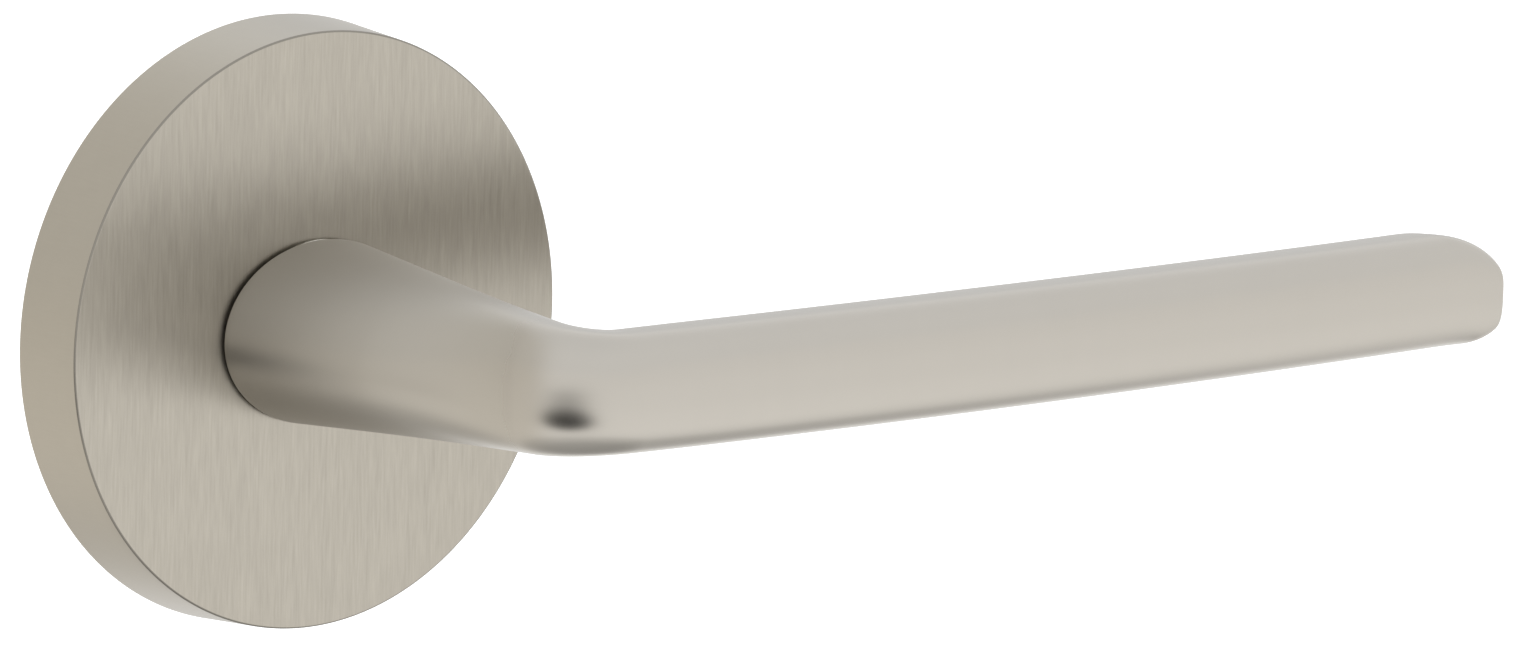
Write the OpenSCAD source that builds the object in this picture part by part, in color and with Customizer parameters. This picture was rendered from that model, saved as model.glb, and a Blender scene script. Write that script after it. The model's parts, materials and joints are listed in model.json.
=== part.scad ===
// Door lever handle on a round sprung rose: one side of a bolt-through lever set, in millimetres.
// The origin is on the spindle's axis in the plane of the door. +X runs along the grip, +Z is up
// and +Y goes into the door, so everything that the hand can reach has a negative Y.

/* [Rose] */
// Diameter of the rose where it meets the door
rose_d = 66.7; // [66:0.1:68]
// How much smaller the front face's radius is than the back's
rose_draft = 0.6; // [0.2:0.1:1]
// Height of the rose off the door
rose_h = 9.1; // [9:0.1:10]
// Thickness of the rose's metal
rose_skin = 2.2; // [1.8:0.1:2.3]
// Radius of the break along the front edge
rose_edge_r = 0.25; // [0.1:0.05:0.5]

/* [Neck] */
// Width of the neck's oval foot, along the grip
foot_w = 26.2; // [24:0.1:28]
// Height of the neck's oval foot
foot_h = 20.2; // [20:0.1:22]
// Shadow gap between the foot and the rose
foot_gap = 0.45; // [0.4:0.05:0.8]
// Width of the neck halfway along
waist_w = 19.6; // [17:0.1:22]
// Height of the neck halfway along
waist_h = 17; // [15.5:0.1:19]
// Length of the straight neck, from foot to elbow
neck_len = 38.6; // [36:0.1:46]
// Bend radius of the elbow's centre line
elbow_r = 6.5; // [6:0.1:12]

/* [Grip] */
// Length of the grip's centre line, from elbow to tip
grip_len = 121.2; // [95:0.1:135]
// Height of the grip at the elbow
grip_h = 13.1; // [12:0.1:15]
// Height of the grip at the tip
tip_h = 12.7; // [11.8:0.1:15]
// Thickness of the grip, from its front face to its back face
grip_t = 9.2; // [8:0.1:11]
// Outward slant of the grip where it leaves the elbow, in degrees
grip_out = 3.6; // [1:0.1:5]
// Inward slant of the grip at its tip, in degrees
grip_in = 2.6; // [1:0.1:5]
// Squareness of the front half of the section: 2 is an ellipse
front_power = 3; // [2:0.1:4]
// Squareness of the back half of the section: 2 is an ellipse
back_power = 3.1; // [2:0.1:4]
// Radius of the tip's upper corner, seen from the front
tip_top_r = 6.3; // [4:0.1:6.3]
// Radius of the tip's lower corner, seen from the front
tip_low_r = 2.9; // [2:0.1:6]
// Length over which the back face curves forward to the tip
tip_back_len = 9; // [6:0.5:14]

/* [Motion] */
// How far the lever turns down from rest, in degrees
turn = 50; // [35:1:55]

/* [Spindle and hub] */
// Side of the square spindle
spindle_side = 8; // [7.6:0.1:8]
// How far the spindle reaches into the door
spindle_reach = 30; // [29:1:60]
// Radius of the hub where it turns in the bushes
journal_r = 9; // [8.8:0.1:9]
// Radius of the hub's nose, which the neck slides on
nose_r = 7; // [6.8:0.1:7.2]

/* [Fixing to the door] */
// Diameter of the ring that centres the rose in the door's cross bore
bore_ring_d = 53.5; // [53:0.1:53.8]
// Depth of the ring in the door's cross bore
bore_ring_depth = 5; // [4:0.5:8]
// Distance between the two through bolts
bolt_spacing = 38.1; // [38:0.1:38.1]
// Diameter of the through bolts
bolt_d = 4; // [3.5:0.1:4]
// How far the through bolts reach into the door
bolt_reach = 25; // [22:1:60]

/* [Return spring] */
// Diameter of the spring's wire
wire_d = 1.6; // [1.2:0.1:1.6]
// Number of turns
spring_turns = 3.5; // [2.5:0.5:3.5]

/* [Hidden] */
$fn = 96;
small_fn = 40;

// Heights below are measured off the door, towards the hand.
fit = 0.02;              // clearance between pieces that don't move on each other
run = 0.05;              // radial clearance of a running fit
loose = 0.3;             // radial clearance of a bolt in its hole
over = 1;                // how far a cutter runs past what it cuts
rose_r = rose_d / 2;
rose_face_r = rose_r - rose_draft;
rose_inner_h = rose_h - rose_skin;
rose_rim = 2.35;         // width of the rim that bears on the door
rose_inner_r = rose_r - rose_rim;
foot_z = rose_h + foot_gap;

plate_r = rose_inner_r - 2 * loose;
plate_t = 2.5;
ring_section_r = 0.75;
ring_groove_r = rose_inner_r - 2 * ring_section_r;
bearing_r = 11;          // outside of the front bearing's sleeve
bearing_flange_r = 13;
bearing_flange_t = 1;
bush_r = 9.7;            // outside of the rose bush's sleeve
bush_lip_r = 10.0;
bush_lip_t = 0.2;
bush_flange_r = 12;

bolt_r = bolt_d / 2;
bolt_shank_r = bolt_r - 0.25;
bolt_thread_start = -16; // the rolled thread is wider than the shank above it
bolt_end_chamfer = 0.5;
bolt_hole_r = bolt_r + loose;
bolt_at = bolt_spacing / 2;
bolt_head_r = 3.8;
bolt_head_t = 2.6;
washer_r = 4.5;
washer_t = 0.8;

ring_chamfer = 0.8;
cup_flange_r = 22.8;
cup_flange_t = 1.5;
cup_r = 15.5;
cup_inner_r = 14.2;
cup_depth = 15;
cup_floor_t = 1.5;
cup_floor_z = cup_floor_t - cup_depth;
rear_bearing_r = 8.5;
rear_flange_r = 10;

screw_angles = [60, 180, 300];
screw_at_r = 18.3;
screw_r = 1.5;
screw_head_r = 2.8;
screw_head_t = 1.9;
screw_len = 8;
screw_boss_r = 2.6;
screw_boss_depth = 7;

rivet_angles = [0, 120, 240];
rivet_at_r = 25;
rivet_r = 0.9;
rivet_head_r = 1.9;
rivet_head_t = 0.6;
rivet_end = -bore_ring_depth + 1.1;

hub_tail_r = 7;
hub_tail_end = -18.5;
barrel_r = 9.5;
barrel_end = -12.3;
flange_r = 11;
flange_top = -0.6;
flange_bottom = -3.6;
nose_top = 24;
groove_r = 6.5;
groove_top = -15.95;
groove_bottom = -17.05;
clip_ring_r = 9.2;       // outside of the retaining ring and its wave washer
square_side = spindle_side + 0.15;

pin_r = 1;               // stop pins and spring post
pin_at_r = 13;
arm_tip_r = 13.6;
arm_half_w = 2.5;
arm_angle = 115;         // where the hub's arm points at rest
finger_inner_r = 12;
finger_end = -7;
stop_angle = asin((arm_half_w + pin_r + run) / pin_at_r);
stop_pin_top = plate_t;
stop_pin_end = flange_bottom;

wire_r = wire_d / 2;
coil_r = 10.9;
coil_top = -5;
coil_bottom = -11.2;
leg_tip_r = 13.7;
free_leg_angle = arm_angle - asin((arm_half_w + wire_r + fit) / pin_at_r);
fixed_leg_angle = free_leg_angle + 360 * spring_turns;
post_angle = fixed_leg_angle - asin((pin_r + wire_r + fit) / pin_at_r);
post_top = -9;
coil_steps = 22;         // rings of the sweep in one turn
wire_sides = 10;

socket_r = nose_r + run;
socket_top = nose_top + 0.5;
spindle_top = 31.5;
spindle_socket_top = spindle_top + 0.5;
grub_z = 17;
grub_r = 2.5;
grub_tip = spindle_side / 2;
grub_end = 8.7;
grub_hex_r = 1.45;
grub_hex_depth = 2;
roll_pin_z = -8;
roll_pin_r = 1.25;
roll_pin_len = 18.4;
clip_slot_w = 3;
clip_slot_depth = 1.2;
clip_slot_len = 8;
clip_slot_far = spindle_reach - 2;
clip_slot_near = clip_slot_far - clip_slot_len;
clip_t = 0.5;

// Turns a piece drawn on the bench, with Z off the door and Y up, to its place on the door.
module on_door() {
    rotate([90, 0, 0])
        children();
}

// A ring or disc between two heights off the door.
module ring(outer_r, inner_r, low, high) {
    translate([0, 0, low])
        difference() {
            cylinder(r = outer_r, h = high - low);
            translate([0, 0, -over])
                cylinder(r = inner_r, h = high - low + 2 * over);
        }
}

// A round hole or pin between two heights off the door.
module post(r, low, high) {
    translate([0, 0, low])
        cylinder(r = r, h = high - low, $fn = small_fn);
}

// Copies at the given angles on a circle.
module around(angles, r) {
    for (a = angles)
        rotate([0, 0, a])
            translate([r, 0, 0])
                children();
}

// Copies at the two bolts, above and below the spindle.
module at_bolts() {
    for (side = [-1, 1])
        translate([0, side * bolt_at, 0])
            children();
}

// Copies at the two stop pins: one for the arm at rest, one for the arm at full turn.
module at_stops() {
    around([arm_angle + stop_angle, arm_angle - turn - stop_angle], pin_at_r)
        children();
}

// A square bar or hole along the spindle's axis.
module square_bar(side, low, high) {
    translate([-side / 2, -side / 2, low])
        cube([side, side, high - low]);
}

// ---- The lever: a path in plan, with an oval section that turns into a flat one ----

elbow_turn = 90 - grip_out;
elbow_len = elbow_r * elbow_turn * PI / 180;
path_len = neck_len + elbow_len + grip_len;
bow_r = grip_len / ((grip_out + grip_in) * PI / 180);

// Heading of the path at length s, in degrees from +X; the foot starts at -90, straight off the door.
function heading(s) =
    s < neck_len ? -90 :
    s < neck_len + elbow_len ? -90 + (s - neck_len) / elbow_r * 180 / PI :
    -grip_out + (grip_out + grip_in) * (s - neck_len - elbow_len) / grip_len;

// Left-hand normal of the path, which points to the door along the grip.
function normal(s) = [-sin(heading(s)), cos(heading(s))];

elbow_start = [0, -foot_z - neck_len];
elbow_end = elbow_start + elbow_r * (normal(0) - normal(neck_len + elbow_len));

function path(s) =
    s < neck_len ? [0, -foot_z - s] :
    s < neck_len + elbow_len ? elbow_start + elbow_r * (normal(0) - normal(s)) :
    elbow_end + bow_r * (normal(neck_len + elbow_len) - normal(s));

// Smooth curve through stations [place, value], flat where the values turn back.
function grade(k, i) = (k[i + 1][1] - k[i][1]) / (k[i + 1][0] - k[i][0]);
function slope(k, i) =
    i == 0 ? grade(k, 0) :
    i == len(k) - 1 ? grade(k, i - 1) :
    grade(k, i - 1) * grade(k, i) <= 0 ? 0 :
    2 / (1 / grade(k, i - 1) + 1 / grade(k, i));
function span_of(k, s, i = 0) = i == len(k) - 2 || s < k[i + 1][0] ? i : span_of(k, s, i + 1);
function along(k, s) =
    let (i = span_of(k, s), w = k[i + 1][0] - k[i][0], t = (s - k[i][0]) / w)
    k[i][1] * (2 * t * t * t - 3 * t * t + 1) + slope(k, i) * w * (t * t * t - 2 * t * t + t)
    + k[i + 1][1] * (3 * t * t - 2 * t * t * t) + slope(k, i + 1) * w * (t * t * t - t * t);

function smooth(t) = let (u = max(0, min(1, t))) u * u * (3 - 2 * u);

elbow_extra_h = 0.65;    // how much the section swells where the elbow begins, on each side
elbow_extra_w = 0.3;
even_len = 25;           // length past the elbow over which the grip keeps its height
half_heights = [
    [0, foot_h / 2],
    [neck_len / 2, waist_h / 2],
    [neck_len, grip_h / 2 + elbow_extra_h],
    [neck_len + elbow_len, grip_h / 2],
    [neck_len + elbow_len + even_len, grip_h / 2],
    [path_len, tip_h / 2]
];
half_widths = [
    [0, foot_w / 2],
    [neck_len / 2, waist_w / 2],
    [neck_len, grip_t / 2 + elbow_extra_w],
    [neck_len + elbow_len, grip_t / 2],
    [path_len, grip_t / 2]
];

// The section's squareness grows from the middle of the neck to just past the elbow.
square_start = neck_len / 2;
square_len = neck_len / 2 + elbow_len + 10;
function power(s, full) = 2 + (full - 2) * smooth((s - square_start) / square_len);
function signed_pow(a, e) = sign(a) * pow(abs(a), 2 / e);

// How far a rounded corner of radius r has drawn in at distance d from its end.
function corner(r, d) = d >= r ? 0 : r - sqrt(r * r - (r - d) * (r - d));

tip_front_r = 1;
tip_back_keep = 0.1;     // share of the thickness left at the very tip
tip_back_growth = 6.6;   // how much larger the tip's corners are on the back face

// One point of the section at length s, where a runs round it and is 0 at the back.
function skin_point(s, a) =
    let (
        d = path_len - s,
        hw = along(half_widths, s),
        hh = along(half_heights, s),
        e = power(s, cos(a) < 0 ? front_power : back_power),
        back_cut = d >= tip_back_len ? 0 :
            (1 - tip_back_keep) * 2 * hw * (1 - sqrt(1 - pow(1 - d / tip_back_len, 2))),
        front_cut = corner(tip_front_r, d),
        w = signed_pow(cos(a), e) * max(hw - (back_cut + front_cut) / 2, 0.05) + (front_cut - back_cut) / 2,
        depth = max(0, min(1, (w / hw + 1) / 2)),
        r = (sin(a) > 0 ? tip_top_r : tip_low_r) + tip_back_growth * depth,
        h = signed_pow(sin(a), e) * (hh - min(corner(r, d), hh - 0.1)),
        p = path(s) + w * normal(s)
    )
    [p[0], p[1], h];

neck_rings = 12;
elbow_rings = 14;
grip_rings = 12;
tip_rings = 12;
tip_zone = 13;
section_points = 48;

stations = concat(
    [for (i = [0 : neck_rings - 1]) neck_len * i / neck_rings],
    [for (i = [0 : elbow_rings - 1]) neck_len + elbow_len * i / elbow_rings],
    [for (i = [0 : grip_rings - 1]) neck_len + elbow_len + (grip_len - tip_zone) * i / grip_rings],
    [for (i = [0 : tip_rings]) path_len - tip_zone * (1 - sin(90 * i / tip_rings))]
);

module lever_skin() {
    n = section_points;
    last = len(stations) - 1;
    points = [for (s = stations, j = [0 : n - 1]) skin_point(s, 360 * j / n)];
    sides = [
        for (i = [0 : last - 1], j = [0 : n - 1])
            [i * n + j, i * n + (j + 1) % n, (i + 1) * n + (j + 1) % n, (i + 1) * n + j]
    ];
    foot = [[for (j = [n - 1 : -1 : 0]) j]];
    tip = [[for (j = [0 : n - 1]) last * n + j]];
    polyhedron(points, concat(sides, foot, tip));
}

module lever_handle() {
    color([0.74, 0.71, 0.66])
        difference() {
            lever_skin();
            on_door() {
                post(socket_r, foot_z - over, socket_top);
                square_bar(square_side, socket_top - over, spindle_socket_top);
                translate([0, 0, grub_z])
                    rotate([90, 0, 0])
                        post(grub_r + fit, 0, foot_h);
            }
        }
}

module lever_set_screw() {
    color([0.3, 0.3, 0.31])
        on_door()
            translate([0, 0, grub_z])
                rotate([90, 0, 0])
                    difference() {
                        post(grub_r, grub_tip, grub_end);
                        translate([0, 0, grub_end - grub_hex_depth])
                            cylinder(r = grub_hex_r, h = grub_hex_depth + over, $fn = 6);
                    }
}

// ---- The rose ----

module rosette_cover() {
    color([0.70, 0.67, 0.62])
        on_door()
            rotate_extrude()
                difference() {
                    union() {
                        polygon([
                            [bush_r + fit, 0],
                            [rose_r, 0],
                            [rose_face_r + rose_draft * rose_edge_r / rose_h, rose_h - rose_edge_r],
                            [rose_face_r - rose_edge_r, rose_h - rose_edge_r],
                            [rose_face_r - rose_edge_r, rose_h],
                            [bush_r + fit, rose_h]
                        ]);
                        translate([rose_face_r - rose_edge_r, rose_h - rose_edge_r])
                            circle(r = rose_edge_r, $fn = small_fn);
                    }
                    translate([0, -over])
                        square([rose_inner_r, rose_inner_h + over]);
                }
}

module cover_bush() {
    color("ivory")
        on_door() {
            difference() {
                union() {
                    post(bush_r, rose_inner_h - bearing_flange_t, rose_h + bush_lip_t);
                    post(bush_lip_r, rose_h + fit, rose_h + bush_lip_t);
                    post(bush_flange_r, rose_inner_h - bearing_flange_t, rose_inner_h - fit);
                }
                post(journal_r + run, 0, rose_h + over);
            }
        }
}

module cover_o_ring() {
    color([0.1, 0.1, 0.1])
        on_door()
            translate([0, 0, plate_t / 2])
                rotate_extrude()
                    translate([ring_groove_r + ring_section_r, 0])
                        circle(r = ring_section_r - fit, $fn = small_fn);
}

module mounting_plate() {
    color([0.62, 0.63, 0.64])
        on_door()
            difference() {
                ring(plate_r, bearing_r + fit, 0, plate_t);
                translate([0, 0, plate_t / 2])
                    ring(plate_r + over, ring_groove_r, -ring_section_r, ring_section_r);
                at_bolts()
                    post(bolt_hole_r, -over, plate_t + over);
                around(screw_angles, screw_at_r)
                    post(screw_r + fit, -over, plate_t + over);
                around(rivet_angles, rivet_at_r)
                    post(rivet_r + fit, -over, plate_t + over);
                at_stops()
                    post(pin_r + fit, -over, plate_t + over);
            }
}

module bore_adapter_ring() {
    outer = bore_ring_d / 2;
    inner = cup_flange_r + loose;
    color([0.88, 0.87, 0.83])
        on_door()
            difference() {
                rotate_extrude()
                    polygon([
                        [inner, -fit],
                        [outer, -fit],
                        [outer, -bore_ring_depth + ring_chamfer],
                        [outer - ring_chamfer, -bore_ring_depth],
                        [inner, -bore_ring_depth]
                    ]);
                around(rivet_angles, rivet_at_r)
                    post(rivet_r + fit, rivet_end - fit, over);
            }
}

module adapter_rivets() {
    color([0.75, 0.75, 0.77])
        on_door()
            around(rivet_angles, rivet_at_r) {
                post(rivet_r, rivet_end, plate_t + rivet_head_t);
                post(rivet_head_r, plate_t + fit, plate_t + rivet_head_t);
            }
}

// A cross recess cut into a screw's head, down from the given height.
module cross_recess(top, length) {
    slot_w = length / 4;
    slot_depth = length / 3;
    for (a = [0, 90])
        rotate([0, 0, a])
            translate([-length / 2, -slot_w / 2, top - slot_depth])
                cube([length, slot_w, slot_depth + over]);
}

// The head of a pan-head screw, with its flat seat at the given height.
module pan_head(head_r, head_t, seat) {
    dome_r = 1.2 * head_r;
    recess_len = 1.1 * head_r;
    difference() {
        translate([0, 0, seat])
            rotate_extrude($fn = small_fn)
                intersection() {
                    square([head_r, head_t]);
                    translate([0, head_t - dome_r])
                        circle(r = dome_r);
                }
        cross_recess(seat + head_t, recess_len);
    }
}

module through_bolts() {
    seat = plate_t + washer_t + fit;
    color([0.75, 0.75, 0.77])
        on_door()
            at_bolts() {
                pan_head(bolt_head_r, bolt_head_t, seat);
                post(bolt_shank_r, bolt_thread_start, seat);
                post(bolt_r, -bolt_reach + bolt_end_chamfer, bolt_thread_start);
                translate([0, 0, -bolt_reach])
                    cylinder(r1 = bolt_r - bolt_end_chamfer, r2 = bolt_r, h = bolt_end_chamfer,
                             $fn = small_fn);
            }
}

module bolt_washers() {
    color([0.75, 0.75, 0.77])
        on_door()
            at_bolts()
                ring(washer_r, bolt_hole_r, plate_t + fit, plate_t + washer_t);
}

module front_bearing() {
    color("ivory")
        on_door()
            difference() {
                union() {
                    post(bearing_r, 0, plate_t + bearing_flange_t);
                    post(bearing_flange_r, plate_t + fit, plate_t + bearing_flange_t);
                }
                post(journal_r + run, -over, rose_h);
            }
}

// ---- The spring housing behind the plate ----

module spring_housing() {
    color([0.55, 0.56, 0.58])
        on_door()
            difference() {
                union() {
                    post(cup_flange_r, -cup_flange_t, -fit);
                    post(cup_r, -cup_depth, -fit);
                    around(screw_angles, screw_at_r)
                        post(screw_boss_r, -screw_boss_depth, -fit);
                }
                post(cup_inner_r, cup_floor_z, over);
                post(rear_bearing_r + fit, -cup_depth - over, over);
                at_bolts()
                    post(bolt_hole_r, -cup_flange_t - over, over);
                around(screw_angles, screw_at_r)
                    post(screw_r + fit, plate_t - screw_len - loose, over);
                around([post_angle], pin_at_r)
                    post(pin_r + fit, -cup_depth - over, over);
            }
}

module housing_screws() {
    color([0.75, 0.75, 0.77])
        on_door()
            around(screw_angles, screw_at_r) {
                pan_head(screw_head_r, screw_head_t, plate_t + fit);
                post(screw_r, plate_t - screw_len, plate_t + fit);
            }
}

module rear_bearing() {
    color("ivory")
        on_door()
            difference() {
                union() {
                    post(rear_bearing_r, -cup_depth, cup_floor_z + bearing_flange_t);
                    post(rear_flange_r, cup_floor_z + fit, cup_floor_z + bearing_flange_t);
                }
                post(hub_tail_r + run, -cup_depth - over, 0);
            }
}

module spring_post() {
    color([0.7, 0.7, 0.72])
        on_door()
            around([post_angle], pin_at_r)
                post(pin_r, -cup_depth, post_top);
}

module stop_pins() {
    color([0.7, 0.7, 0.72])
        on_door()
            at_stops()
                post(pin_r, stop_pin_end, stop_pin_top);
}

// ---- The torsion spring: one leg on the post, one on the hub's arm ----

function unit(v) = v / norm(v);

// Centre of the wire at turn fraction t, from the free leg's root (0) to the fixed leg's root (1).
function coil_point(t) =
    let (a = free_leg_angle + 360 * spring_turns * t)
    [coil_r * cos(a), coil_r * sin(a), coil_top + (coil_bottom - coil_top) * t];

module return_spring() {
    steps = ceil(coil_steps * spring_turns);
    centres = concat(
        [leg_tip_r * [cos(free_leg_angle), sin(free_leg_angle), 0] + [0, 0, coil_top]],
        [for (i = [0 : steps]) coil_point(i / steps)],
        [leg_tip_r * [cos(fixed_leg_angle), sin(fixed_leg_angle), 0] + [0, 0, coil_bottom]]
    );
    // Across the wire at each centre, away from the axis on the coil, and turned square to the two legs.
    count = len(centres);
    radial = [for (c = centres) unit([c[0], c[1], 0])];
    tangent = [for (v = radial) [-v[1], v[0], 0]];
    across = [
        for (i = [0 : count - 1])
            i == 0 ? tangent[i] :
            i == 1 ? unit(radial[i] + tangent[i]) :
            i == count - 2 ? unit(radial[i] - tangent[i]) :
            i == count - 1 ? -tangent[i] :
            radial[i]
    ];
    points = [
        for (i = [0 : count - 1], j = [0 : wire_sides - 1])
            let (a = 360 * j / wire_sides)
            centres[i] + wire_r * (cos(a) * across[i] + sin(a) * [0, 0, 1])
    ];
    sides = [
        for (i = [0 : count - 2], j = [0 : wire_sides - 1])
            [i * wire_sides + j, i * wire_sides + (j + 1) % wire_sides,
             (i + 1) * wire_sides + (j + 1) % wire_sides, (i + 1) * wire_sides + j]
    ];
    start = [[for (j = [wire_sides - 1 : -1 : 0]) j]];
    end = [[for (j = [0 : wire_sides - 1]) (count - 1) * wire_sides + j]];
    color([0.35, 0.37, 0.42])
        on_door()
            polyhedron(points, concat(sides, start, end));
}

// ---- The turning parts behind the neck ----

module drive_hub() {
    color([0.45, 0.45, 0.47])
        on_door()
            difference() {
                union() {
                    post(nose_r, 0, nose_top);
                    post(journal_r, flange_bottom, foot_z - fit);
                    post(flange_r, flange_bottom, flange_top);
                    post(barrel_r, barrel_end, flange_bottom);
                    difference() {
                        post(hub_tail_r, hub_tail_end, barrel_end);
                        ring(hub_tail_r + over, groove_r, groove_bottom, groove_top);
                    }
                    rotate([0, 0, arm_angle]) {
                        translate([journal_r, -arm_half_w, flange_bottom])
                            cube([arm_tip_r - journal_r, 2 * arm_half_w, flange_top - flange_bottom]);
                        translate([finger_inner_r, -arm_half_w, finger_end])
                            cube([arm_tip_r - finger_inner_r, 2 * arm_half_w, flange_top - finger_end]);
                    }
                }
                square_bar(square_side, hub_tail_end - over, nose_top + over);
                translate([0, 0, grub_z])
                    rotate([90, 0, 0])
                        post(grub_r + 2 * run, 0, nose_r + over);
                translate([0, 0, roll_pin_z])
                    rotate([0, 90, 0])
                        post(roll_pin_r + fit, -barrel_r - over, barrel_r + over);
            }
}

module hub_washer() {
    color("ivory")
        on_door()
            ring(flange_r, journal_r + run, flange_top + run, -run);
}

module wave_washer() {
    color([0.6, 0.6, 0.62])
        on_door()
            ring(clip_ring_r, hub_tail_r + 2 * run, groove_top + run, -cup_depth - run);
}

module retaining_ring() {
    gap_w = 5;
    ear_r = 1.6;
    ear_angle = 24;
    color([0.2, 0.2, 0.21])
        on_door()
            translate([0, 0, groove_bottom + run])
                linear_extrude(groove_top - groove_bottom - 2 * run)
                    difference() {
                        union() {
                            circle(r = clip_ring_r);
                            for (side = [-1, 1])
                                rotate(-90 + side * ear_angle)
                                    translate([clip_ring_r, 0])
                                        circle(r = ear_r, $fn = small_fn);
                        }
                        circle(r = groove_r + fit);
                        translate([-gap_w / 2, -2 * clip_ring_r])
                            square([gap_w, 2 * clip_ring_r]);
                        for (side = [-1, 1])
                            rotate(-90 + side * ear_angle)
                                translate([clip_ring_r, 0])
                                    circle(r = ear_r / 2, $fn = small_fn);
                    }
}

module spindle() {
    chamfer = 0.8;
    chamfer_side = chamfer * sqrt(2);
    color([0.66, 0.66, 0.68])
        on_door()
            difference() {
                square_bar(spindle_side, -spindle_reach, spindle_top);
                for (a = [0, 90, 180, 270])
                    rotate([0, 0, a])
                        translate([spindle_side / 2, 0, -spindle_reach])
                            rotate([0, 45, 0])
                                cube([chamfer_side, 2 * spindle_side, chamfer_side], center = true);
                translate([spindle_side / 2 - clip_slot_depth, -clip_slot_w / 2, -clip_slot_far])
                    cube([clip_slot_depth + over, clip_slot_w, clip_slot_len]);
                translate([0, 0, roll_pin_z])
                    rotate([0, 90, 0])
                        post(roll_pin_r + fit, -spindle_side, spindle_side);
            }
}

module spindle_pin() {
    slit_w = 0.5;
    color([0.5, 0.5, 0.52])
        on_door()
            translate([0, 0, roll_pin_z])
                rotate([0, 90, 0])
                    difference() {
                        post(roll_pin_r, -roll_pin_len / 2, roll_pin_len / 2);
                        post(roll_pin_r / 2, -roll_pin_len, roll_pin_len);
                        translate([0, -slit_w / 2, -roll_pin_len])
                            cube([2 * roll_pin_r, slit_w, 2 * roll_pin_len]);
                    }
}

// A bowed strip whose middle stands a little proud of the spindle's side.
module anti_rattle_spring() {
    length = clip_slot_len - clip_t;
    width = clip_slot_w - clip_t;
    proud = 0.3;
    rise = clip_slot_depth - clip_t + proud;
    outer = (length * length / 4 + rise * rise) / (2 * rise);
    middle = -(clip_slot_near + clip_slot_far) / 2;
    base_x = spindle_side / 2 - clip_slot_depth + fit;
    color([0.5, 0.52, 0.56])
        on_door()
            translate([base_x, width / 2, middle])
                rotate([90, 0, 0])
                    linear_extrude(width)
                        intersection() {
                            translate([rise + clip_t - outer, 0])
                                difference() {
                                    circle(r = outer, $fn = 360);
                                    circle(r = outer - clip_t, $fn = 360);
                                }
                            translate([0, -length / 2])
                                square([rise + clip_t, length]);
                        }
}

rosette_cover();
cover_bush();
cover_o_ring();
mounting_plate();
bore_adapter_ring();
adapter_rivets();
through_bolts();
bolt_washers();
front_bearing();
spring_housing();
housing_screws();
rear_bearing();
spring_post();
stop_pins();
return_spring();
lever_handle();
lever_set_screw();
drive_hub();
hub_washer();
wave_washer();
retaining_ring();
spindle();
spindle_pin();
anti_rattle_spring();
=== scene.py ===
"""Door lever handle on a round sprung rose: the looks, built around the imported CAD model.

The frame is the part's own: the origin is on the spindle's axis in the plane of the door, +X runs
along the grip, +Y goes into the door and +Z is up. Sizes below are in millimetres.
"""

import json
import math

import bmesh
import bpy
from mathutils import Matrix, Vector


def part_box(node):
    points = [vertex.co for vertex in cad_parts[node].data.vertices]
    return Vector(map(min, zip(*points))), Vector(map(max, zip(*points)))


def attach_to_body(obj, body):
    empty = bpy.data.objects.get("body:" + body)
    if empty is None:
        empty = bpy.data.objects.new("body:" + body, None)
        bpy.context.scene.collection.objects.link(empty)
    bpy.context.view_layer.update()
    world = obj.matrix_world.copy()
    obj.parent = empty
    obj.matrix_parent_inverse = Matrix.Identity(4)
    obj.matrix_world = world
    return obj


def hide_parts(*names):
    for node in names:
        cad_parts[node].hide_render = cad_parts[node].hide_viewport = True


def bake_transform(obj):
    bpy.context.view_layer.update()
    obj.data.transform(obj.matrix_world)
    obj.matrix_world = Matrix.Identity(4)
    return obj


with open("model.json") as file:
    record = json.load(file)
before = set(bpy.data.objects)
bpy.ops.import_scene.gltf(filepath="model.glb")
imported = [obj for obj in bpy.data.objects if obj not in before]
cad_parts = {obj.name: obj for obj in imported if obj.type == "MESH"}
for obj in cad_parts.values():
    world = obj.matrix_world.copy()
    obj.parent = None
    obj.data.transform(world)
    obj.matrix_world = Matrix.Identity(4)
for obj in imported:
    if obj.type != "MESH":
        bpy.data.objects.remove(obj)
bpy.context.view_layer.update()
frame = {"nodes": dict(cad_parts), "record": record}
MM = 0.001


# ---- Sizes, read from the frame where a node shows them ----

def box_mm(node):
    low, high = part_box(node)
    return low / MM, high / MM


rose_low, rose_high = box_mm("rosette_cover")
_, lever_high = box_mm("lever_handle")

ROSE_R = rose_high.x
ROSE_H = -rose_low.y
ROSE_DRAFT = 0.6
ROSE_FACE_R = ROSE_R - ROSE_DRAFT
ROSE_EDGE_R = 0.25
ROSE_SKIN, ROSE_WALL = 2.2, 2.35            # thickness of the rose's face and rim
ROSE_INNER_R = ROSE_R - ROSE_WALL
BUSH_HOLE_R = 9.72

FOOT_W, FOOT_H = 26.2, 20.2
WAIST_W, WAIST_H = 19.6, 17.0
NECK_LEN = 38.6
ELBOW_R = 6.5
ELBOW_EXTRA_W, ELBOW_EXTRA_H = 0.3, 0.65    # how much fuller the elbow starts than the grip
GRIP_LEN = 121.2
GRIP_H, TIP_H, GRIP_T = 13.1, 12.7, 9.2
GRIP_TAPER_START = 25                       # from the elbow, where the grip starts to get lower
GRIP_OUT, GRIP_IN = 3.6, 2.6                # degrees that the grip leans out at the elbow and in at the tip
FRONT_POWER, BACK_POWER = 3.0, 3.1          # of the section's superellipse: 2 is an oval
POWER_RUN = 10                              # from the elbow, where the section has its full power
TIP_TOP_R, TIP_LOW_R = 6.3, 2.9
TIP_BACK_LEN, TIP_FRONT_R = 9.0, 1.0
TIP_BACK_KEEP, TIP_BACK_GROWTH = 0.1, 6.6   # share of the thickness left at the end, growth of the corners
TIP_MIN_HALF = 0.05
FOOT_Z = -lever_high.y
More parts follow.
